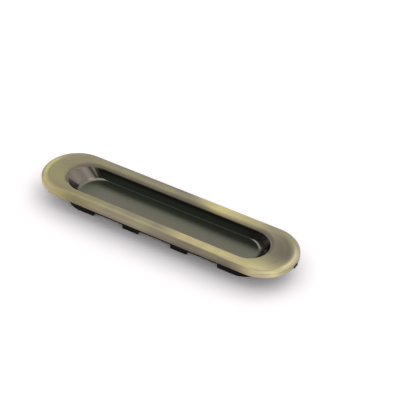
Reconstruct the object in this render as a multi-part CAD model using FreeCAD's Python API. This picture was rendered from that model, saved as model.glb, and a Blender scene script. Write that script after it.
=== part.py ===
import FreeCAD, Part
import math
import os

# Oval flush pull for a sliding door: a cast metal face plate with a finger recess, snapped over
# a moulded plastic base that goes in the door's mortise.
# X runs along the pull and Z out of the door. The origin is the middle of the plane that the
# base's feet stand on when the pull lies face up.

# Face plate: crowned flange with a skirt round its edge
plate_length = 160.0
plate_width = 40.0
plate_height = 3.2
plate_wall = 1.0
crest_inset = 4.0
crown_drop = 0.5
shoulder_radius = 1.4
skirt_edge_radius = 0.3

# Face plate: finger recess, with steep sides and sloped ends that come in from rim to floor
mouth_length = 126.8
mouth_width = 23.3
recess_depth = 7.4
side_run = 0.35
end_run = 6.2
recess_wall = 0.8
rim_drop = 0.5
rim_radius = 0.5
crest_flat = 0.3

# Face plate: margin of the recess floor, which turns up to the walls, narrow along the sides and
# broad as a scoop at the ends
margin_rise = 0.8
side_margin = 0.25
end_margin = 4.0
margin_steps = 3

# Notch in the skirt at each tip, filled by a lug of the base: a blade there lifts the cover off
notch_width = 4.8
notch_height = 1.4
tip_lug_proud = 0.3

# Snap lugs on the outside of the recess
lug_width = 8.0
lug_height = 1.6
lug_reach = 0.7
lug_lip = 0.5
lug_below_face = 1.3

# Base: rim behind the flange, and a hollow body with a floor
rim_thickness = 1.2
body_depth = 7.6
body_wall = 0.8
tray_wall = 1.2
rib_width = 1.0
rib_spacing = 28.0

# Base: feet, one round each end and two on each long side
foot_height = 2.5
foot_corner_radius = 1.2
side_foot_width = 10.4
side_foot_spacing = 31.2
end_foot_spacing = 80.0

# Base: countersunk screw holes through bosses on its floor
screw_spacing = 96.0
screw_hole_diameter = 3.8
countersink_diameter = 7.0
boss_diameter = 10.0
boss_height = 2.0

# Clearances, how far cutting shapes run past what they cut, and how near counts as the same place
fit_clearance = 0.15
seat_gap = 0.1
window_clearance = 0.3
overrun = 1.0
same_place = 0.01

# Heights of the main planes above the feet
door_face = foot_height + body_depth
crest = door_face + plate_height
rim_level = crest - rim_drop
recess_floor = crest - recess_depth
margin_top = recess_floor + margin_rise

# Lean of the recess's walls, as run over rise
side_slope = side_run / (rim_level - recess_floor)
end_slope = end_run / (rim_level - recess_floor)

# What the base's body has to clear
cup_space = recess_wall + fit_clearance

X_AXIS = FreeCAD.Vector(1, 0, 0)
Y_AXIS = FreeCAD.Vector(0, 1, 0)
Z_AXIS = FreeCAD.Vector(0, 0, 1)
ORIGIN = FreeCAD.Vector(0, 0, 0)


def point(x, y, z):
    return FreeCAD.Vector(x, y, z)


def line(start, end):
    return Part.LineSegment(start, end).toShape()


def arc_about(start, end, centre):
    """The short arc about a centre."""
    radius = (start - centre).Length
    halfway = (start - centre) + (end - centre)
    halfway.normalize()
    return Part.Arc(start, centre + halfway * radius, end).toShape()


def edges_at(shape, level):
    """The edges that lie wholly at one height."""
    return [
        edge for edge in shape.Edges
        if abs(edge.BoundBox.ZMin - level) < same_place
        and abs(edge.BoundBox.ZMax - level) < same_place
    ]


def in_pairs(spacing):
    """Two places, one each side of the middle."""
    return (-spacing / 2, spacing / 2)


def oval(half_length, half_width, level):
    """An outline at one height: two straights joined by half circles."""
    reach = half_length - half_width
    near_left = point(-reach, -half_width, level)
    near_right = point(reach, -half_width, level)
    far_right = point(reach, half_width, level)
    far_left = point(-reach, half_width, level)
    return Part.Wire([
        line(near_left, near_right),
        Part.Arc(near_right, point(half_length, 0, level), far_right).toShape(),
        line(far_right, far_left),
        Part.Arc(far_left, point(-half_length, 0, level), near_left).toShape(),
    ])


def oval_block(half_length, half_width, low, high):
    """A straight-sided block on an oval."""
    return Part.Face(oval(half_length, half_width, low)).extrude(point(0, 0, high - low))


def carried_round(edges, reach):
    """A half section in the YZ plane, carried along both straights and turned round both ends."""
    profile = Part.Face(Part.Wire(edges))
    at_right = profile.translated(point(reach, 0, 0))
    at_left = profile.translated(point(-reach, 0, 0))
    right = at_right.revolve(point(reach, 0, 0), Z_AXIS, -180)
    left = at_left.revolve(point(-reach, 0, 0), Z_AXIS, 180)
    far_side = at_left.extrude(point(2 * reach, 0, 0))
    near_side = far_side.mirror(ORIGIN, Y_AXIS)
    return far_side.fuse([near_side, right, left]).removeSplitter()


def crown_arc():
    """Centre and radius of the crown's arc, which falls from the crest to the plate's edge."""
    radius = (crest_inset ** 2 + crown_drop ** 2) / (2 * crown_drop)
    return point(0, plate_width / 2 - crest_inset, crest - radius), radius


def flange_outside():
    """The flange as a solid: crowned top, rounded shoulder and straight skirt."""
    crown, crown_radius = crown_arc()
    edge = plate_width / 2
    to_shoulder = crown_radius - shoulder_radius
    rise = math.sqrt(to_shoulder ** 2 - (edge - shoulder_radius - crown.y) ** 2)
    shoulder = point(0, edge - shoulder_radius, crown.z + rise)
    crown_end = crown + (shoulder - crown) * (crown_radius / to_shoulder)
    skirt_top = point(0, edge, shoulder.z)
    edge_round = point(0, edge - skirt_edge_radius, door_face + skirt_edge_radius)
    skirt_low = point(0, edge, edge_round.z)
    skirt_foot = point(0, edge_round.y, door_face)
    crest_point = point(0, crown.y, crest)
    top_middle = point(0, 0, crest)
    bottom_middle = point(0, 0, door_face)
    return carried_round([
        line(bottom_middle, skirt_foot),
        arc_about(skirt_foot, skirt_low, edge_round),
        line(skirt_low, skirt_top),
        arc_about(skirt_top, crown_end, shoulder),
        arc_about(crown_end, crest_point, crown),
        line(crest_point, top_middle),
        line(top_middle, bottom_middle),
    ], (plate_length - plate_width) / 2)


def flange_hollow():
    """The hollow behind the flange, one wall in from its crown and skirt."""
    crown, crown_radius = crown_arc()
    edge = plate_width / 2 - plate_wall
    rise = math.sqrt((crown_radius - plate_wall) ** 2 - (edge - crown.y) ** 2)
    bottom_middle = point(0, 0, door_face - overrun)
    bottom_edge = point(0, edge, door_face - overrun)
    corner = point(0, edge, crown.z + rise)
    crest_point = point(0, crown.y, crest - plate_wall)
    top_middle = point(0, 0, crest - plate_wall)
    return carried_round([
        line(bottom_middle, bottom_edge),
        line(bottom_edge, corner),
        arc_about(corner, crest_point, crown),
        line(crest_point, top_middle),
        line(top_middle, bottom_middle),
    ], (plate_length - plate_width) / 2)


def dish():
    """The space over the shallow dip from the crest to the rim of the recess."""
    rim = mouth_width / 2
    dish_width = plate_width / 2 - rim - crest_inset - crest_flat
    dish_radius = (dish_width ** 2 + rim_drop ** 2) / (2 * rim_drop)
    centre = point(0, rim + dish_width, crest - dish_radius)
    top_middle = point(0, 0, crest + overrun)
    top_edge = point(0, centre.y, crest + overrun)
    dish_edge = point(0, centre.y, crest)
    rim_point = point(0, rim, rim_level)
    rim_middle = point(0, 0, rim_level)
    return carried_round([
        line(top_middle, top_edge),
        line(top_edge, dish_edge),
        arc_about(dish_edge, rim_point, centre),
        line(rim_point, rim_middle),
        line(rim_middle, top_middle),
    ], (mouth_length - mouth_width) / 2)


def side_at(level, wall):
    """Distance from the middle to the recess's long side at one height, grown by a wall."""
    return mouth_width / 2 - side_slope * (rim_level - level) + wall * math.hypot(1, side_slope)


def end_at(level, wall):
    """Distance from the middle to the recess's tip at one height, grown by a wall."""
    return mouth_length / 2 - end_slope * (rim_level - level) + wall * math.hypot(1, end_slope)


def half_disc(half_length, radius, level):
    """The half circle beyond one end of the straights, closed across."""
    reach = half_length - radius
    near = point(reach, -radius, level)
    far = point(reach, radius, level)
    return Part.Wire([Part.Arc(near, point(half_length, 0, level), far).toShape(), line(far, near)])


def recess_form(wall, low, top):
    """The recess as a solid, grown by a wall: steep flat sides between two sloped round ends."""
    low_side = side_at(low, wall)
    top_side = side_at(top, wall)
    low_reach = end_at(low, wall) - low_side
    top_reach = end_at(top, wall) - top_side
    middle = Part.makeWedge(-low_reach, low, -low_side, -top_side, -top_reach,
                            low_reach, top, low_side, top_side, top_reach)
    middle.rotate(ORIGIN, X_AXIS, 90)
    right = Part.makeLoft([half_disc(low_reach + low_side, low_side, low),
                           half_disc(top_reach + top_side, top_side, top)], True, True)
    left = right.mirror(ORIGIN, X_AXIS)
    return middle.fuse([right, left]).removeSplitter()


def floor_margin():
    """The lowest slice of the recess: a smooth loft that turns up from the flat floor to the walls."""
    end = end_at(margin_top, 0)
    side = side_at(margin_top, 0)
    outlines = []
    for step in range(margin_steps + 1):
        part = step / margin_steps
        turn = part * math.pi / 2
        outlines.append(oval(end - end_margin * (1 - part),
                             side - side_margin * (1 - math.sin(turn)),
                             margin_top - margin_rise * math.cos(turn)))
    return Part.makeLoft(outlines, True)


def finger_space():
    """What is hollowed out of the plate for the fingers."""
    walls = recess_form(0, margin_top, crest + overrun)
    return walls.fuse(floor_margin()).removeSplitter()


def tip_block(side, width, height, inner, outer):
    """A block across the skirt at one tip, from the door's face up."""
    block = Part.makeBox(outer - inner, width, height, point(inner, -width / 2, door_face))
    if side < 0:
        block = block.mirror(ORIGIN, X_AXIS)
    return block


def snap_lug(x, side):
    """A wedge on the outside of the recess: a ramp below and a flat lip above."""
    start = x - lug_width / 2
    high = door_face - lug_below_face
    low = high - lug_height
    root = side_at(low, recess_wall / 2)
    lip = side_at(high, recess_wall) + lug_reach
    outline = [
        point(start, root, low),
        point(start, side_at(low, recess_wall), low),
        point(start, lip, high - lug_lip),
        point(start, lip, high),
        point(start, root, high),
        point(start, root, low),
    ]
    lug = Part.Face(Part.makePolygon(outline)).extrude(point(lug_width, 0, 0))
    if side < 0:
        lug = lug.mirror(ORIGIN, Y_AXIS)
    return lug


def face_plate():
    """The cast metal cover: flange, skirt, recess and snap lugs in one piece."""
    cup = recess_form(recess_wall, recess_floor - recess_wall, crest - plate_wall / 2)
    lugs = [snap_lug(x, side) for x in in_pairs(side_foot_spacing) for side in (-1, 1)]
    plate = flange_outside().cut(flange_hollow()).fuse([cup] + lugs)
    plate = plate.cut([dish(), finger_space()]).removeSplitter()
    plate = plate.makeFillet(rim_radius, edges_at(plate, rim_level))
    tip = plate_length / 2
    notches = [tip_block(side, notch_width, notch_height, tip - 2 * plate_wall, tip + overrun)
               for side in (-1, 1)]
    return plate.cut(notches)


def body_outline():
    """Half length and half width of the base's body, one wall outside the recess."""
    return end_at(door_face, cup_space) + body_wall, side_at(door_face, cup_space) + body_wall


def foot_block(start, end, rounded):
    """A foot seen from the side, cut right across the body, with rounded lower corners."""
    depth = 2 * (body_outline()[1] + overrun)
    height = foot_height + tray_wall
    block = Part.makeBox(end - start, depth, height, point(start, -depth / 2, 0))
    corners = [
        edge for edge in edges_at(block, 0)
        if any(abs(edge.CenterOfMass.x - x) < same_place for x in rounded)
    ]
    return block.makeFillet(foot_corner_radius, corners)


def feet():
    """The castellated lower edge: a foot round each end and two feet on each long side."""
    half_length, half_width = body_outline()
    high = foot_height + tray_wall
    ring = oval_block(half_length, half_width, 0, high)
    ring = ring.cut(oval_block(half_length - tray_wall, half_width - tray_wall,
                               -overrun, high + overrun))
    end_start = end_foot_spacing / 2
    end_foot = foot_block(end_start, half_length + overrun, [end_start])
    blocks = [end_foot, end_foot.mirror(ORIGIN, X_AXIS)]
    for x in in_pairs(side_foot_spacing):
        start = x - side_foot_width / 2
        end = x + side_foot_width / 2
        blocks.append(foot_block(start, end, [start, end]))
    return [ring.common(block) for block in blocks]


def screw_hole(x):
    """A clearance hole with a countersink at the top of its boss."""
    radius = screw_hole_diameter / 2
    sink_radius = countersink_diameter / 2
    boss_top = foot_height + boss_height
    hole = Part.makeCylinder(radius, boss_height + 2 * overrun, point(x, 0, foot_height - overrun))
    sink_depth = sink_radius - radius
    sink = Part.makeCone(radius, sink_radius, sink_depth, point(x, 0, boss_top - sink_depth))
    return [hole, sink]


def snap_window(x, side):
    """The window that a snap lug springs into, through one long wall of the body."""
    width = lug_width + 2 * window_clearance
    height = lug_height + 2 * window_clearance
    high = door_face - lug_below_face + window_clearance
    inner = side_at(door_face, 0) - overrun
    outer = body_outline()[1] + overrun
    window = Part.makeBox(width, outer - inner, height, point(x - width / 2, inner, high - height))
    if side < 0:
        window = window.mirror(ORIGIN, Y_AXIS)
    return window


def mounting_base():
    """The moulded base: rim behind the flange, hollow body, ribs, screw bosses and feet."""
    half_length, half_width = body_outline()
    rim_inset = plate_wall + fit_clearance
    rim_low = door_face + seat_gap
    rim_top = rim_low + rim_thickness
    tip = plate_length / 2
    rim = oval_block(tip - rim_inset, plate_width / 2 - rim_inset, rim_low, rim_top)
    tip_lugs = [tip_block(side, notch_width - 2 * fit_clearance, notch_height - fit_clearance,
                          tip - rim_inset - overrun, tip + tip_lug_proud)
                for side in (-1, 1)]
    body = oval_block(half_length, half_width, foot_height, rim_low)
    hollow = oval_block(half_length - tray_wall, half_width - tray_wall,
                        foot_height + tray_wall, rim_top + overrun)
    cup_bottom = recess_floor - cup_space
    cup = recess_form(cup_space, cup_bottom, rim_top + overrun)
    base = body.fuse([rim] + tip_lugs).cut([hollow, cup])

    rib_height = cup_bottom - foot_height
    ribs = [Part.makeBox(rib_width, 2 * half_width - tray_wall, rib_height,
                         point(x - rib_width / 2, tray_wall / 2 - half_width, foot_height))
            for x in (-rib_spacing, 0, rib_spacing)]
    bosses = [Part.makeCylinder(boss_diameter / 2, boss_height, point(x, 0, foot_height))
              for x in in_pairs(screw_spacing)]
    base = base.fuse(feet() + ribs + bosses)

    cuts = [snap_window(x, side) for x in in_pairs(side_foot_spacing) for side in (-1, 1)]
    for x in in_pairs(screw_spacing):
        cuts.extend(screw_hole(x))
    return base.cut(cuts).removeSplitter()


os.makedirs("parts", exist_ok=True)
face_plate().exportStep("parts/face_plate.step")
mounting_base().exportStep("parts/mounting_base.step")
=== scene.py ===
import math

import bmesh
import bpy
from mathutils import Matrix, Vector


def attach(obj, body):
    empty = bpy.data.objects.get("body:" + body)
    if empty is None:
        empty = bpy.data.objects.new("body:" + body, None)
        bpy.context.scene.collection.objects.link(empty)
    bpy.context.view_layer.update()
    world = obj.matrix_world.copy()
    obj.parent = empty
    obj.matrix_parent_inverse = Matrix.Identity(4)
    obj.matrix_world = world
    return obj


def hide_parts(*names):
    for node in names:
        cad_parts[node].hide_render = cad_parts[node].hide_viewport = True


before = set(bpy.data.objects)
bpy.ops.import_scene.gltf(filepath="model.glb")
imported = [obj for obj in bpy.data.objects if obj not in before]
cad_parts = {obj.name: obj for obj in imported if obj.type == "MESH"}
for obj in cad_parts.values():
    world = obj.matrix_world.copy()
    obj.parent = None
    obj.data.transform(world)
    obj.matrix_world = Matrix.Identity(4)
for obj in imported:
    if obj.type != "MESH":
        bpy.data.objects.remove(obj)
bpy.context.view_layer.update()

# An oval flush pull for a sliding door lies face up on a white table. It has two pieces: the
# cast brass cover, brushed on its flange and dark in its recess, and the black moulded base.
# Sizes are in millimetres, in the CAD model's frame, until they reach Blender.

MM = 0.001
OVAL_CORNERS = 128      # round an oval's two ends together
BAR_CORNERS = 48        # round a screw hole or its boss
NEAR = 0.02             # what lies this near to a place counts as at that place
OVERRUN = 2.0           # how far a cutter runs past what it cuts
SUNK = 0.05             # how far one shape stops short of another's face, so that none coincide

# Heights above the table
TRAY_BOTTOM = 2.5
TRAY_TOP = 3.7
RIB_TOP = 4.95
TRAY_WALL = 5.0
CUP_BOTTOM = 5.1
RECESS_FLOOR = 5.9
MARGIN_TOP = 6.7
DOOR_FACE = 10.1
RIM_BOTTOM = 10.2
RIM_TOP = 11.4
NOTCH_TOP = 11.5
SKIRT_CEILING = 12.0
FLANGE_CEILING = 12.3
CREST = 13.3

# Outlines: the half length and the half width of each oval
PLATE = (80.0, 20.0)            # the flange's outer edge
MOUTH = (63.4, 11.65)           # the recess, where the dish meets its walls
MARGIN = (57.92, 11.34)         # the recess, where its floor's margin meets its walls
CUP = (57.56, 12.06)            # outside of the recess, at its bottom
CUP_TOP = (64.03, 12.426)       # outside of the recess, under the flange
BODY = (63.05, 13.26)           # outside of the base
TRAY = (61.85, 12.06)           # inside of the base, at its tray
COLLAR = (63.6, 12.53)          # inside of the base, at its rim

# The crowned flange: a dish down to the mouth, a level crest, and a crown down to the skirt
DISH_RUN = 4.05
DISH_RADIUS = 16.65
CROWN_RUN = 4.0
CROWN_RADIUS = 16.25
SKIRT_WALL = 1.0
FIT = 0.15              # the space between the skirt and the base

# The cover's snap lugs stand in windows of the base's walls
SNAP_PLACES = (-15.6, 15.6)
LUG_HALF = 4
LUG_REACH = (12.0, 13.09)
LUG_HEIGHTS = (7.2, 8.8)
LUG_SLOPE = 0.8         # how far its lower edge lies further in, so that it slides down the wall
LUG_ROUND = 0.1
WINDOW_HALF = 4.3
WINDOW_HEIGHTS = (6.9, 9.1)
WALL_CUT_START = 11     # where a cut out through one of the base's long walls starts

# The base's lug at each tip stands in a notch of the skirt
TIP_LUG_REACH = (77.85, 80.3)
TIP_LUG_HALF = 1.8

# The base's feet, screw holes and ribs
FOOT_GAPS = ((-40.0, -20.8), (-10.4, 10.4), (20.8, 40.0))
FOOT_CORNER = 1.2
SCREW_PLACES = (-48.0, 48.0)
SCREW_RADIUS = 1.9
SCREW_HEAD_RADIUS = 3.5
HOLE_START = 1.0
COUNTERSINK_START = 2.9
BOSS_TOP = 4.5
BOSS_RADIUS = 5
RIB_PLACES = (-28.0, 0.0, 28.0)
RIB_HALF = 0.5
MOULD_ROUND = 0.12


# Modelling helpers

def select_only(piece=None):
    """Selects one object, or nothing."""
    for other in list(bpy.context.selected_objects):
        other.select_set(False)
    bpy.context.view_layer.objects.active = piece
    if piece is not None:
        piece.select_set(True)


def edit(piece):
    select_only(piece)
    bpy.ops.object.mode_set(mode="EDIT")


def done_editing():
    bpy.ops.object.mode_set(mode="OBJECT")


def pick(kind, wanted):
    """In edit mode, selects the vertices, edges or faces for which wanted() is true."""
    mesh = bpy.context.edit_object.data
    kinds = {"verts": "VERT", "edges": "EDGE", "faces": "FACE"}
    bpy.context.tool_settings.mesh_select_mode = [kind == each for each in kinds]
    form = bmesh.from_edit_mesh(mesh)
    form.select_mode = {kinds[kind]}
    chosen = [part for part in getattr(form, kind) if wanted(part)]
    for part in [*form.verts, *form.edges, *form.faces]:
        part.select = False
    for part in chosen:
        part.select_set(True)
    bmesh.update_edit_mesh(mesh)


def offset_from(outline, place):
    """How far a place lies outside an oval outline, both in millimetres."""
    half_length, radius = outline
    return math.hypot(max(abs(place.x) - (half_length - radius), 0), place.y) - radius


def on_ring(outline, level):
    """A test for edges that run along one oval outline at one level."""
    def test(edge):
        return all(abs(v.co.z / MM - level) < NEAR and abs(offset_from(outline, v.co / MM)) < NEAR
                   for v in edge.verts)
    return test


def bevel_edges(width, segments):
    """Rounds the selected edges."""
    bpy.ops.mesh.bevel(offset_type="OFFSET", offset=width * MM, segments=segments, profile=0.5,
                       affect="EDGES", clamp_overlap=True)


def cut_away(piece, cutter):
    """Takes one object's shape out of another, and removes the cutter."""
    select_only(piece)
    cut = piece.modifiers.new("cut", "BOOLEAN")
    cut.operation = "DIFFERENCE"
    cut.solver = "EXACT"
    cut.object = cutter
    bpy.ops.object.modifier_apply(modifier=cut.name)
    bpy.data.objects.remove(cutter)


def apply_place():
    """Moves an object's place into its mesh."""
    bpy.ops.object.transform_apply(location=True, rotation=True, scale=True)


def block(name, *spans):
    """A box from its spans along X, Y and Z."""
    select_only()
    spans = [sorted(span) for span in spans]
    size = [high - low for low, high in spans]
    middle = [(low + high) / 2 * MM for low, high in spans]
    bpy.ops.mesh.primitive_cube_add(size=MM, location=middle, scale=size)
    made = bpy.context.object
    made.name = name
    apply_place()
    return made


def round_bar(radius, x, bottom, top):
    """An upright cylinder on the pull's middle line."""
    select_only()
    bpy.ops.mesh.primitive_cylinder_add(vertices=BAR_CORNERS, radius=radius * MM,
                                        depth=(top - bottom) * MM,
                                        location=(x * MM, 0, (bottom + top) / 2 * MM))
    apply_place()
    return bpy.context.object


def join_to(piece, others):
    """Makes other objects part of a piece."""
    select_only(piece)
    for other in others:
        other.select_set(True)
    bpy.ops.object.join()


def finish_surface(piece):
    """Smooth shading that keeps real corners sharp and flats flat."""
    edit(piece)
    bpy.ops.mesh.select_all(action="SELECT")
    bpy.ops.mesh.normals_make_consistent(inside=False)
    done_editing()
    bpy.ops.object.shade_smooth_by_angle(angle=math.radians(30))
    flats = piece.modifiers.new("flats", "WEIGHTED_NORMAL")
    flats.keep_sharp = True
    flats.weight = 100
    bpy.ops.object.modifier_apply(modifier=flats.name)


# The oval shell: one ring of edges carried through a row of outlines

def oval_ring(name, outline, level):
    """A circle, parted in the middle and pulled out to an oval."""
    half_length, radius = outline
    select_only()
    bpy.ops.mesh.primitive_circle_add(vertices=OVAL_CORNERS, radius=radius * MM,
                                      fill_type="NOTHING", location=(0, 0, level * MM),
                                      rotation=(0, 0, math.pi / OVAL_CORNERS))
    piece = bpy.context.object
    piece.name = name
    apply_place()
    edit(piece)
    for side in (-1, 1):
        pick("verts", lambda v: v.co.x * side > 0)
        bpy.ops.transform.translate(value=(side * (half_length - radius) * MM, 0, 0))
    bpy.ops.mesh.select_all(action="SELECT")
    return piece


def carry_ring(old, new):
    """Extrudes the selected ring from one outline and level to the next."""
    (old_length, old_radius), old_level = old
    (new_length, new_radius), new_level = new
    old_reach = old_length - old_radius
    new_reach = new_length - new_radius
    bpy.ops.mesh.extrude_edges_move()
    form = bmesh.from_edit_mesh(bpy.context.edit_object.data)
    ring = {v.index for v in form.verts if v.select}
    scale = new_radius / old_radius
    for side in (-1, 1):
        pick("verts", lambda v: v.index in ring and v.co.x * side > 0)
        bpy.ops.transform.resize(value=(scale, scale, 1),
                                 center_override=(side * old_reach * MM, 0, old_level * MM))
        bpy.ops.transform.translate(value=(side * (new_reach - old_reach) * MM, 0,
                                           (new_level - old_level) * MM))
    pick("edges", lambda e: all(v.index in ring for v in e.verts))


def oval_shell(name, rings):
    """A closed shell: the rings in order, with the first and the last filled."""
    piece = oval_ring(name, *rings[0])
    bpy.ops.mesh.edge_face_add()
    for old, new in zip(rings, rings[1:]):
        carry_ring(old, new)
    bpy.ops.mesh.edge_face_add()
    done_editing()
    return piece


def grown(outline, by):
    """An outline moved outwards all round."""
    return (outline[0] + by, outline[1] + by)


def arc_rings(outline, radius, outwards, steps):
    """Rings down an arc that leaves the crest level at an outline, and runs outwards or inwards."""
    return [(grown(outline, out), CREST - radius + math.sqrt(radius ** 2 - out ** 2))
            for out in (outwards * step / steps for step in range(1, steps + 1))]


# The cast brass cover

def margin_rings(end_width=2.4, side_width=0.25, steps=10):
    """The floor's margin turns up to the walls: narrow along the sides, a scoop at the ends."""
    rings = []
    for step in range(steps + 1):
        part = step / steps
        turn = part * math.pi / 2
        outline = (MARGIN[0] - end_width * (1 - part),
                   MARGIN[1] - side_width * (1 - math.sin(turn)))
        rings.append((outline, MARGIN_TOP - (MARGIN_TOP - RECESS_FLOOR) * math.cos(turn)))
    return rings


def cover_plate():
    """Recess floor, sloped walls, dish, crest, crown and skirt, and back under the flange."""
    crest_inner = grown(MOUTH, DISH_RUN)
    crest_outer = grown(PLATE, -CROWN_RUN)
    skirt_inside = grown(PLATE, -SKIRT_WALL)
    dish = arc_rings(crest_inner, DISH_RADIUS, -DISH_RUN, steps=6)
    crown = arc_rings(crest_outer, CROWN_RADIUS, CROWN_RUN, steps=4)
    rings = margin_rings() + dish[::-1] + [(crest_inner, CREST), (crest_outer, CREST)] + crown
    rings += [(PLATE, DOOR_FACE), (skirt_inside, DOOR_FACE), (skirt_inside, SKIRT_CEILING),
              (crest_outer, FLANGE_CEILING), (CUP_TOP, FLANGE_CEILING), (CUP, CUP_BOTTOM)]
    piece = oval_shell("cover_plate", rings)

    # Every corner of the casting is rounded, as a mould and a polishing wheel leave it: the
    # mouth, the shoulder, the skirt's lower edge outside and inside, and under the recess.
    edit(piece)
    for outline, level, width, segments in (
        (MOUTH, dish[-1][1], 0.5, 6),
        (PLATE, crown[-1][1], 0.7, 8),
        (PLATE, DOOR_FACE, 0.3, 4),
        (skirt_inside, DOOR_FACE, 0.15, 2),
        (CUP, CUP_BOTTOM, 0.5, 4),
    ):
        pick("edges", on_ring(outline, level))
        bevel_edges(width, segments)
    done_editing()

    half_notch = TIP_LUG_HALF + FIT
    for side in (-1, 1):
        across_skirt = (side * (PLATE[0] - OVERRUN), side * (PLATE[0] + OVERRUN))
        cut_away(piece, block("notch", across_skirt, (-half_notch, half_notch),
                              (DOOR_FACE - OVERRUN, NOTCH_TOP)))
    finish_surface(piece)
    join_to(piece, [snap_lug(x, side) for x in SNAP_PLACES for side in (-1, 1)])
    return piece


def snap_lug(middle, side):
    """A small wedge on the outside of the recess, which springs into a window of the base."""
    lug = block("lug", (middle - LUG_HALF, middle + LUG_HALF), [side * y for y in LUG_REACH],
                LUG_HEIGHTS)
    edit(lug)
    pick("edges", lambda e: all(v.co.z / MM < LUG_HEIGHTS[0] + NEAR
                                and abs(v.co.y / MM) > LUG_REACH[1] - NEAR for v in e.verts))
    bpy.ops.transform.translate(value=(0, -side * LUG_SLOPE * MM, 0))
    bpy.ops.mesh.select_all(action="SELECT")
    bevel_edges(LUG_ROUND, segments=2)
    done_editing()
    return lug


# The black moulded base

def base_moulding():
    """Rim behind the flange, tray under the recess, and feet along its lower edge."""
    rim = grown(PLATE, -(SKIRT_WALL + FIT))
    piece = oval_shell("base_moulding", [
        (TRAY, TRAY_TOP), (TRAY, TRAY_WALL), (COLLAR, RIM_TOP), (rim, RIM_TOP), (rim, RIM_BOTTOM),
        (BODY, RIM_BOTTOM), (BODY, 0), (TRAY, 0), (TRAY, TRAY_BOTTOM),
    ])
    for side in (-1, 1):
        wall = (side * WALL_CUT_START, side * (BODY[1] + OVERRUN))
        for gap in FOOT_GAPS:
            cut_away(piece, block("gap", gap, wall, (-OVERRUN, TRAY_BOTTOM)))
        for x in SNAP_PLACES:
            window = (x - WINDOW_HALF, x + WINDOW_HALF)
            cut_away(piece, block("window", window, wall, WINDOW_HEIGHTS))

    # The feet's lower corners are round.
    edit(piece)
    pick("edges", lambda e: all(abs(v.co.z) < NEAR * MM for v in e.verts)
         and abs(e.verts[0].co.x - e.verts[1].co.x) < NEAR * MM)
    bevel_edges(FOOT_CORNER, segments=6)
    done_editing()

    for x in SCREW_PLACES:
        cut_away(piece, screw_hole(x))
    tip_lugs = [block("tip_lug", [side * x for x in TIP_LUG_REACH], (-TIP_LUG_HALF, TIP_LUG_HALF),
                      (DOOR_FACE, RIM_TOP - SUNK)) for side in (-1, 1)]
    bosses = [screw_boss(x) for x in SCREW_PLACES]

    # Bosses and ribs start inside the tray's floor, and ribs end inside its walls.
    tray_middle = (TRAY_BOTTOM + TRAY_TOP) / 2
    wall_middle = (BODY[1] + TRAY[1]) / 2
    ribs = [block("rib", (x - RIB_HALF, x + RIB_HALF), (-wall_middle, wall_middle),
                  (tray_middle, RIB_TOP)) for x in RIB_PLACES]
    join_to(piece, tip_lugs + bosses + ribs)

    # Every other edge has the small round of a mould.
    soft_edges = piece.modifiers.new("soft_edges", "BEVEL")
    soft_edges.width = MOULD_ROUND * MM
    soft_edges.segments = 2
    soft_edges.limit_method = "ANGLE"
    soft_edges.angle_limit = math.radians(40)
    bpy.ops.object.modifier_apply(modifier=soft_edges.name)
    finish_surface(piece)
    return piece


def screw_boss(x):
    """The round stand that a screw's head is sunk in."""
    boss = round_bar(BOSS_RADIUS, x, (TRAY_BOTTOM + TRAY_TOP) / 2, BOSS_TOP)
    cut_away(boss, screw_hole(x))
    return boss


def screw_hole(x):
    """A straight hole that opens to a countersink at the top of its boss."""
    hole = round_bar(SCREW_RADIUS, x, HOLE_START, COUNTERSINK_START)
    edit(hole)
    pick("faces", lambda f: f.normal.z > 0.9)
    sink = (BOSS_TOP - COUNTERSINK_START) * MM
    bpy.ops.mesh.extrude_region_move(TRANSFORM_OT_translate={"value": (0, 0, sink)})
    widen = SCREW_HEAD_RADIUS / SCREW_RADIUS
    bpy.ops.transform.resize(value=(widen, widen, 1), center_override=(x * MM, 0, 0))
    bpy.ops.mesh.extrude_region_move(TRANSFORM_OT_translate={"value": (0, 0, OVERRUN * MM)})
    done_editing()
    return hole


# Materials

def colour(code):
    """An sRGB hex colour as Blender's linear red, green, blue and alpha."""
    parts = [int(code[i:i + 2], 16) / 255 for i in (1, 3, 5)]
    return [p / 12.92 if p <= 0.04045 else ((p + 0.055) / 1.055) ** 2.4 for p in parts] + [1.0]


def add(tree, kind, inputs=None, **settings):
    """Adds a node with its settings. Its sockets take values, sockets or nodes' first outputs."""
    made = tree.nodes.new(kind)
    for name, value in settings.items():
        setattr(made, name, value)
    for socket, value in (inputs or {}).items():
        if isinstance(value, bpy.types.Node):
            value = next(output for output in value.outputs if output.enabled)
        if isinstance(value, bpy.types.NodeSocket):
            tree.links.new(value, made.inputs[socket])
        else:
            made.inputs[socket].default_value = value
    return made


def new_material(name):
    """A material, and its node tree with nothing in it."""
    material = bpy.data.materials.new(name)
    material.use_nodes = True
    material.node_tree.nodes.clear()
    return material, material.node_tree


def place_in_mm(tree):
    """Where a point of the piece is, in millimetres."""
    at = add(tree, "ShaderNodeTexCoord").outputs["Object"]
    return add(tree, "ShaderNodeVectorMath", {0: at, 1: (1 / MM, 1 / MM, 1 / MM)},
               operation="MULTIPLY")


def area(tree, *edges, strength=1.0):
    """A soft-edged area of the surface, with full strength inside all its edges.

    Each edge is (value, start, end): nothing up to the start, and full past the end.
    """
    made = strength
    for value, start, end in edges:
        made = add(tree, "ShaderNodeMapRange", {"Value": value, "From Min": start, "From Max": end,
                                                "To Max": made}, interpolation_type="SMOOTHSTEP")
    return made


def any_of(tree, first, *others):
    """Several areas as one, each at its own strength."""
    for other in others:
        first = add(tree, "ShaderNodeMath", {0: first, 1: other}, operation="MAXIMUM")
    return first


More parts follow.
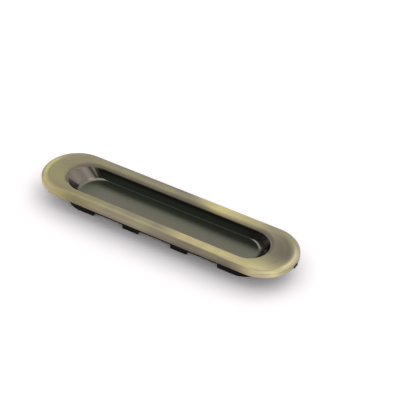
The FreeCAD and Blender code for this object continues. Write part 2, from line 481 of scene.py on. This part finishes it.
def from_spine(tree, x, y, outline):
    """Distance in millimetres from the straight line that an oval outline is drawn round."""
    half_spine = outline[0] - outline[1]
    length = add(tree, "ShaderNodeMath", {0: x}, operation="ABSOLUTE")
    past = add(tree, "ShaderNodeMath", {0: length, 1: half_spine}, operation="SUBTRACT")
    past = add(tree, "ShaderNodeMath", {0: past, 1: 0.0}, operation="MAXIMUM")
    away = add(tree, "ShaderNodeCombineXYZ", {"X": past, "Y": y})
    return add(tree, "ShaderNodeVectorMath", {0: away}, operation="LENGTH").outputs["Value"]


def antique_brass():
    """Brass-plated zinc casting, darkened, then brushed along its flange and lacquered satin.

    The wheel takes the dark off the flange and leaves it in the recess, so the flange is a pale
    olive brass with fine lines along it, and the recess is smooth dark bronze. The flange is
    brightest where the wheel pressed most and where highlights are painted on, and painted shade
    darkens stretches of its dish, shoulder and skirt and parts of the recess.
    """
    material, tree = new_material("brushed_antique_brass")
    at = place_in_mm(tree)
    x, y, z = add(tree, "ShaderNodeSeparateXYZ", {0: at}).outputs
    length = add(tree, "ShaderNodeMath", {0: x}, operation="ABSOLUTE")
    out = from_spine(tree, x, y, PLATE)
    mouth = from_spine(tree, x, y, MOUTH)

    # Brush lines follow the flange. Real ones are 0.1 mm apart, drawn here at 0.5 mm to show.
    lines_at = add(tree, "ShaderNodeCombineXYZ", {
        socket: add(tree, "ShaderNodeMath", {0: value, 1: per_mm}, operation="MULTIPLY")
        for socket, value, per_mm in (("X", out, 2.0), ("Y", x, 0.03), ("Z", y, 0.05))})
    lines = add(tree, "ShaderNodeTexNoise", {"Vector": lines_at, "Scale": 1.0, "Detail": 3.0,
                                             "Roughness": 0.6}).outputs["Fac"]
    streak = add(tree, "ShaderNodeMapRange", {"Value": lines, "From Min": 0.3, "From Max": 0.7,
                                              "To Min": 0.88, "To Max": 1.1})

    # Brown clouds, about 15 mm across, where the wheel took off less
    clouds = add(tree, "ShaderNodeTexNoise", {"Vector": at, "Scale": 0.06, "Detail": 2.0,
                                              "Roughness": 0.5}).outputs["Fac"]
    brass = add(tree, "ShaderNodeMix", {"Factor": area(tree, (clouds, 0.35, 0.65)),
                                        "A": colour("#a09a79"), "B": colour("#968d78")},
                data_type="RGBA")

    # Brown is left deep in the dish, and painted shade darkens it further: up the far side, on the
    # left end and on the right end.
    far_dish = area(tree, (mouth, 15.2, 12.6), (y, -6.5, 0.5), (x, -90, -50))
    right_end = area(tree, (x, 56, 69), (out, 17.5, 14), (y, -11, 3), strength=0.85)
    left_dish = area(tree, (x, -54, -60), (mouth, 13.9, 12.8), (y, 3, -2), (y, -10.5, -8.3))

    # It is left down the skirt too, with painted shade over it, except on the near side of the left
    # end. It is rubbed off again on the near side of the right tip, where a painted highlight lies
    # on the skirt.
    skirt = area(tree, (z, 12.8, 11.9),
                 strength=any_of(tree, area(tree, (x, -72, -60)), area(tree, (y, -15, -10))))
    end_skirt = area(tree, (z, 12.6, 11.8), (x, 66, 76), (y, -3, -7))

    # Stretches of the shoulder, and a thin line round the right end, are darker: brown where the
    # wheel ran past, with painted shade where the shoulder turns away. The left end is a little
    # yellower as a whole.
    near_shoulder = area(tree, (x, -14, 30), (x, 66, 56), (out, 17.2, 18.4), (y, -8, -12))
    left_shoulder = area(tree, (x, -34, -44), (x, -66, -58), (out, 17.2, 18.4), (y, -8, -12),
                         (z, 11.9, 12.6), strength=0.65)
    end_line = area(tree, (x, 61, 65), (out, 16.8, 17.4), (out, 18.3, 17.7), (y, -5, -9),
                    strength=0.7)
    far_shoulder = area(tree, (x, -52, -38), (x, 8, 0), (out, 16.6, 18.2), (y, 8, 12))
    left_end = area(tree, (x, -20, -50), (y, 24, 0))

    # Polishing and painted highlights bring up a yellow brass, paler towards the ends.
    polish_and_highlight_tint = add(tree, "ShaderNodeMix", {
        "Factor": area(tree, (length, 56, 68)), "A": (1.82, 1.77, 1.40, 1),
        "B": (1.84, 1.78, 1.60, 1)}, data_type="RGBA")

    for place, tint in (
        (1.0, streak),
        (any_of(tree, far_dish, right_end, left_dish), (0.515, 0.50, 0.58, 1)),
        (skirt, (0.80, 0.78, 0.84, 1)),
        (end_skirt, (1.32, 1.40, 1.30, 1)),
        (any_of(tree, near_shoulder, left_shoulder, end_line), (0.72, 0.70, 0.75, 1)),
        (far_shoulder, (0.79, 0.82, 0.85, 1)),
        (left_end, (0.95, 0.93, 0.83, 1)),
        (polish_and_painted_highlights(tree, x, y, out), polish_and_highlight_tint),
    ):
        brass = add(tree, "ShaderNodeMix", {"Factor": place, "A": brass, "B": tint},
                    data_type="RGBA", blend_type="MULTIPLY")

    # The dark stays in the recess and under the flange. Painted shade carries it further over the
    # rim on the far side and round the left end.
    far_rim = any_of(tree, area(tree, (y, -7, -2)), area(tree, (x, -54, -58)))
    dark = any_of(tree, area(tree, (mouth, 11.9, 11.4)),
                  area(tree, (mouth, 12.2, 11.6), strength=far_rim), area(tree, (z, 9.9, 9.4)))
    metal = add(tree, "ShaderNodeMix", {"Factor": dark, "A": brass,
                                        "B": recess_bronze(tree, x, y, z)}, data_type="RGBA")

    # Smooth in the recess, a little less so on its floor, and satin on the brushed flange
    recess_rough = add(tree, "ShaderNodeMapRange", {"Value": area(tree, (z, 6.9, 6.4)),
                                                    "To Min": 0.15, "To Max": 0.22})
    rough = add(tree, "ShaderNodeMapRange", {"Value": area(tree, (mouth, 11.7, 11.3)),
                                             "To Min": 0.34, "To Max": recess_rough})
    bump = add(tree, "ShaderNodeBump", {"Height": lines, "Strength": 0.05, "Distance": 0.0001})
    across = add(tree, "ShaderNodeCombineXYZ", {"Y": 1.0})
    shader = add(tree, "ShaderNodeBsdfPrincipled", {
        "Base Color": metal, "Metallic": 1.0, "Roughness": rough,
        "Anisotropic": 0.7, "Tangent": across, "Normal": bump,
    })
    add(tree, "ShaderNodeOutputMaterial", {"Surface": shader})
    return material


def polish_and_painted_highlights(tree, x, y, out):
    """Polish where the wheel pressed most, and painted highlights: right of the middle on both
    sides, and round both ends.
    """
    # The far stretch starts at a slant.
    slant = add(tree, "ShaderNodeMath", {0: out, 1: 1.7, 2: x}, operation="MULTIPLY_ADD")
    far_stretch = area(tree, (slant, 34, 48), (x, 66, 28), (y, 0, 4))

    # The near stretch stops short of the shoulder, and reaches over it towards the right end.
    near_stretch = area(tree, (x, 3, 20), (y, 6, -8),
                        strength=any_of(tree, area(tree, (x, 64, 52)), area(tree, (y, -5, -17))))
    up_to_shoulder = any_of(tree, area(tree, (out, 17.8, 16.8)),
                            area(tree, (out, 18.4, 17.5), (x, 38, 50)), area(tree, (x, 52, 66)))
    near_stretch = add(tree, "ShaderNodeMath", {0: near_stretch, 1: up_to_shoulder},
                       operation="MULTIPLY")

    # Round each end a painted highlight lies on the flange's edge, and on the rim outside it less
    # so except nearest.
    ends = any_of(tree, area(tree, (x, 48, 64)), area(tree, (x, -48, -64), strength=0.9))
    outer_rim = area(tree, (out, 17.8, 18.8), (y, -14, -10), strength=0.7)
    end_edges = add(tree, "ShaderNodeMapRange", {"Value": outer_rim, "To Min": ends, "To Max": 0.0})
    end_edges = area(tree, (out, 15.5, 18), (y, 13.5, 4), strength=end_edges)

    # A faint painted highlight runs along the whole near crest.
    near_crest = area(tree, (out, 15.2, 16.2), (out, 17.4, 16.4), (y, -8, -12), strength=0.35)
    return any_of(tree, far_stretch, near_stretch, end_edges, near_crest)


def recess_bronze(tree, x, y, z):
    """The dark bronze of the recess, worked upwards from its floor, with painted shade and
    highlights.
    """
    length, width = (add(tree, "ShaderNodeMath", {0: value}, operation="ABSOLUTE")
                     for value in (x, y))
    side_wall = area(tree, (width, 10.9, 11.2), (x, -55, -52))
    bronze = colour("#747063")
    for place, code in (
        # The floor is greener on its far side, and greener and a little darker at its left end. A
        # painted shadow darkens a band on its far side towards the right.
        (area(tree, (y, -4, 8)), "#6c6f60"),
        (area(tree, (x, -42, -54)), "#65675a"),
        (area(tree, (x, -10, 50), (y, 0, 6), (y, 12, 6)), "#626357"),
        # Painted shade darkens its margin round the left end's near half, and a painted highlight
        # lies on it at the far corners.
        (area(tree, (x, -52, -56), (z, 5.92, 6.2), (y, 5, 1)), "#59564c"),
        (area(tree, (length, 46, 50), (z, 5.92, 6.1), (y, 4, 7.5)), "#958f85"),
        # The end walls are brown, and the long walls green and darker with painted shade. Painted
        # shade darkens the right end's far corner.
        (area(tree, (z, 6.4, 7.4)), "#7b736b"),
        (side_wall, "#575d58"),
        (area(tree, (x, 42, 48), (y, 6, 8.5), (z, 6.35, 6.55), (z, 11, 8.5)), "#4c4a46"),
        # Painted shade makes the long walls darkest up under the rim, and the rim brown at the left
        # end.
        (area(tree, (z, 9, 11.8), (length, 53, 50), strength=side_wall), "#373532"),
        (area(tree, (z, 12, 12.8), (x, -50, -56)), "#6c655e"),
    ):
        bronze = add(tree, "ShaderNodeMix", {"Factor": place, "A": bronze, "B": colour(code)},
                     data_type="RGBA")
    return bronze


def black_plastic():
    """Moulded black ABS with a spark-eroded grain, which gives a soft grey sheen at its edges.

    The grain is 0.15 mm across, and the melt leaves patches of about 7 mm a shade apart.
    """
    material, tree = new_material("moulded_black_abs")
    at = place_in_mm(tree)
    grain = add(tree, "ShaderNodeTexNoise", {"Vector": at, "Scale": 6.0, "Detail": 2.0})
    flow = add(tree, "ShaderNodeTexNoise", {"Vector": at, "Scale": 0.15, "Detail": 1.0})
    tint = add(tree, "ShaderNodeMix", {"Factor": flow.outputs["Fac"], "A": colour("#0b0a08"),
                                       "B": colour("#11100e")}, data_type="RGBA")
    bump = add(tree, "ShaderNodeBump", {"Height": grain.outputs["Fac"], "Strength": 0.25,
                                        "Distance": 0.00003})
    shader = add(tree, "ShaderNodeBsdfPrincipled", {
        "Base Color": tint, "Roughness": 0.6, "IOR": 1.53, "Specular IOR Level": 0.17,
        "Normal": bump,
    })
    add(tree, "ShaderNodeOutputMaterial", {"Surface": shader})
    return material


def white_table():
    """Matt white laminate, which gives a plain white ground with a soft shadow on it.

    To the camera and in reflections it is lifted to a white background.
    """
    material, tree = new_material("matt_white_laminate")
    ray = add(tree, "ShaderNodeLightPath").outputs
    seen = any_of(tree, ray["Is Camera Ray"], ray["Is Glossy Ray"], ray["Is Transmission Ray"])
    laminate = add(tree, "ShaderNodeBsdfDiffuse", {"Color": colour("#fbf7f9")})
    lift = add(tree, "ShaderNodeBsdfDiffuse", {"Color": colour("#6c6a6b")})
    lifted = add(tree, "ShaderNodeAddShader", {0: laminate, 1: lift})
    both = add(tree, "ShaderNodeMixShader", {0: seen, 1: laminate, 2: lifted})
    add(tree, "ShaderNodeOutputMaterial", {"Surface": both})
    return material


# Table, light and camera, with places in metres

def table():
    """A wide table top, just under the feet."""
    select_only()
    bpy.ops.mesh.primitive_plane_add(size=8, location=(0, 0, -SUNK * MM))
    made = bpy.context.object
    made.name = "table"
    made.data.materials.append(white_table())


def soft_panel(name, place, size, watts):
    """A rectangular panel lamp that faces the pull."""
    lamp = bpy.data.lights.new(name, "AREA")
    lamp.shape = "RECTANGLE"
    lamp.size, lamp.size_y = size
    lamp.energy = watts
    holder = bpy.data.objects.new(name, lamp)
    bpy.context.scene.collection.objects.link(holder)
    holder.location = place
    holder.rotation_mode = "QUATERNION"
    holder.rotation_quaternion = Vector(place).to_track_quat("Z", "Y")


def light():
    """White studio walls, dim in a narrow strip where the camera stands, and five soft panels."""
    world = bpy.data.worlds.new("studio")
    bpy.context.scene.world = world
    world.use_nodes = True
    tree = world.node_tree
    tree.nodes.clear()

    # The strip is thin along the first direction, and lies towards the second.
    way = add(tree, "ShaderNodeTexCoord").outputs["Generated"]
    across_strip, to_strip = (
        add(tree, "ShaderNodeVectorMath", {0: way, 1: direction},
            operation="DOT_PRODUCT").outputs["Value"]
        for direction in ((0.864, 0.504, -0.2), (0.504, -0.864, 0.0)))
    off_middle = add(tree, "ShaderNodeMath", {0: across_strip}, operation="ABSOLUTE")
    strip = area(tree, (off_middle, 0.13, 0.07), (to_strip, 0.3, 0.5))
    strength = add(tree, "ShaderNodeMapRange", {"Value": strip, "To Min": 0.9, "To Max": 0.15})
    walls = add(tree, "ShaderNodeBackground", {"Color": colour("#ffffff"), "Strength": strength})
    add(tree, "ShaderNodeOutputWorld", {"Surface": walls})

    for name, place, size, watts in (
        ("key_panel", (0.3, 1.0, 1.35), (1.1, 0.8), 2.8),
        ("left_back_panel", (-1.45, 1.1, 0.75), (1.2, 0.6), 0.6),
        ("right_high_panel", (1.0, -0.1, 1.5), (0.8, 0.8), 1.8),
        ("right_back_panel", (1.5, 1.3, 1.0), (1.0, 0.6), 0.4),
        ("right_front_panel", (1.0, -0.42, 0.55), (0.5, 0.5), 0.25),
    ):
        soft_panel(name, place, size, watts)


def camera():
    """The photograph's view: 30 degrees round from the front and 39 up, from 0.76 m."""
    place = (0.3095, -0.4942, 0.4893)
    azimuth, elevation, roll = (math.radians(angle) for angle in (30.3, 38.8, 1.58))
    level = math.cos(elevation)
    back = Vector((math.sin(azimuth) * level, -math.cos(azimuth) * level, math.sin(elevation)))
    right = (-back).cross(Vector((0, 0, 1))).normalized()
    up = back.cross(right)
    turned_right = right * math.cos(roll) + up * math.sin(roll)
    turned_up = up * math.cos(roll) - right * math.sin(roll)
    lens = bpy.data.cameras.new("camera")
    lens.lens = 124.04
    lens.sensor_width = 36
    lens.clip_start = 0.05
    holder = bpy.data.objects.new("camera", lens)
    bpy.context.scene.collection.objects.link(holder)
    turn = Matrix((turned_right, turned_up, back)).transposed().to_4x4()
    holder.matrix_world = Matrix.Translation(place) @ turn
    bpy.context.scene.camera = holder


for make, node, finish, slot in (
    (cover_plate, "face_plate", antique_brass, "antique_brass"),
    (base_moulding, "mounting_base", black_plastic, "black_plastic"),
):
    piece = make()
    piece.data.materials.clear()
    piece.data.materials.append(finish())
    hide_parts(node)
    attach(piece, "root")

table()
light()
camera()
select_only()
bpy.context.scene.view_settings.view_transform = "Standard"
